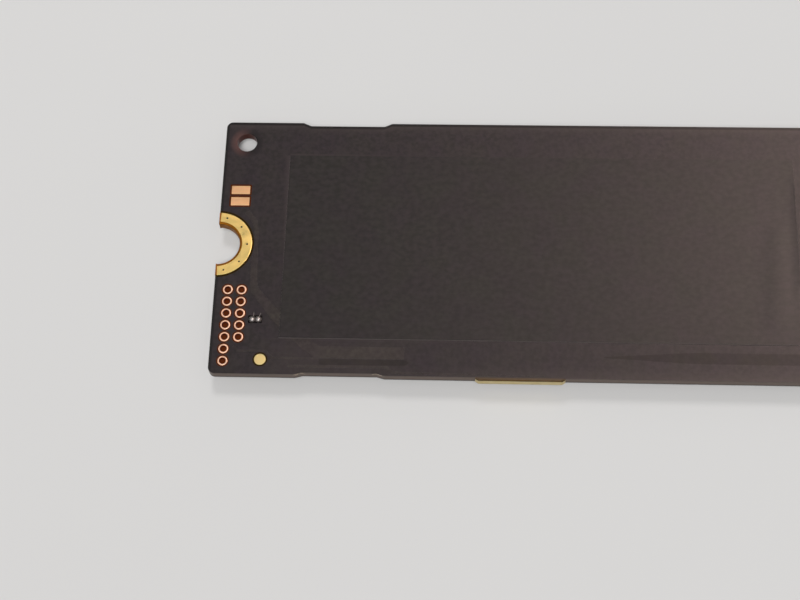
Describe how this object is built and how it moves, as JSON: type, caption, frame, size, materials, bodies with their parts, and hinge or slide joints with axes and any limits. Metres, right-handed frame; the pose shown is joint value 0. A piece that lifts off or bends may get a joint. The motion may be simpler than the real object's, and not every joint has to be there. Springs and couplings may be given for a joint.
{
  "type": "nvme ssd",
  "caption": "Slim solid-state drive card: black circuit board with an edge connector at one end, plated half-round screw notch at the other, chips on one face and a thin film on the bare face.",
  "frame": {"origin": "centre of the board's outline, on the surface that the chip packages rest on", "axes": "+X towards the edge connector, -X towards the screw notch, +Y the edge away from the key notch, +Z out of the bare face"},
  "size_m": [0.08, 0.0222, 0.0021],
  "materials": {
    "coated_laminate": "matte black coating on brown laminate",
    "black_film": "matte",
    "gold_plating": "satin",
    "bare_copper": "satin",
    "tin_solder": "satin",
    "package_ceramic": "matte",
    "lid_metal": "brushed",
    "capacitor_ceramic": "satin",
    "resistor_glaze": "gloss",
    "fuse_ceramic": "matte",
    "inductor_core": "matte",
    "mould_compound": "matte"
  },
  "bodies": {
    "root": {"boot_memory": "mould_compound", "boot_memory_leads": "tin_solder", "buffer_memory": "mould_compound", "buffer_memory_solder_balls": "tin_solder", "bulk_capacitor_bodies": "capacitor_ceramic", "bulk_capacitor_end_caps": "tin_solder", "circuit_board": "coated_laminate", "controller": "mould_compound", "controller_solder_balls": "tin_solder", "coupling_capacitor_bodies": "capacitor_ceramic", "coupling_capacitor_end_caps": "tin_solder", "cover_film": "black_film", "crystal_base": "package_ceramic", "crystal_lid": "lid_metal", "edge_plating": "gold_plating", "flash_a": "mould_compound", "flash_a_solder_balls": "tin_solder", "flash_b": "mould_compound", "flash_b_solder_balls": "tin_solder", "inductor_1": "inductor_core", "inductor_1_terminals": "tin_solder", "inductor_2": "inductor_core", "inductor_2_terminals": "tin_solder", "inductor_3": "inductor_core", "inductor_3_terminals": "tin_solder", "input_fuse_bodies": "fuse_ceramic", "input_fuse_end_caps": "tin_solder", "load_switch": "mould_compound", "load_switch_leads": "tin_solder", "lower_contacts": "gold_plating", "lower_fiducials": "gold_plating", "power_regulator": "mould_compound", "power_regulator_leads": "tin_solder", "resistor_bodies": "resistor_glaze", "resistor_end_caps": "tin_solder", "screw_pad": "gold_plating", "service_pads": "bare_copper", "small_capacitor_bodies": "capacitor_ceramic", "small_capacitor_end_caps": "tin_solder", "solder_dots": "tin_solder", "temperature_sensor": "mould_compound", "temperature_sensor_leads": "tin_solder", "test_points": "bare_copper", "upper_contacts": "gold_plating", "upper_fiducial": "gold_plating"}
  },
  "joints": []
}
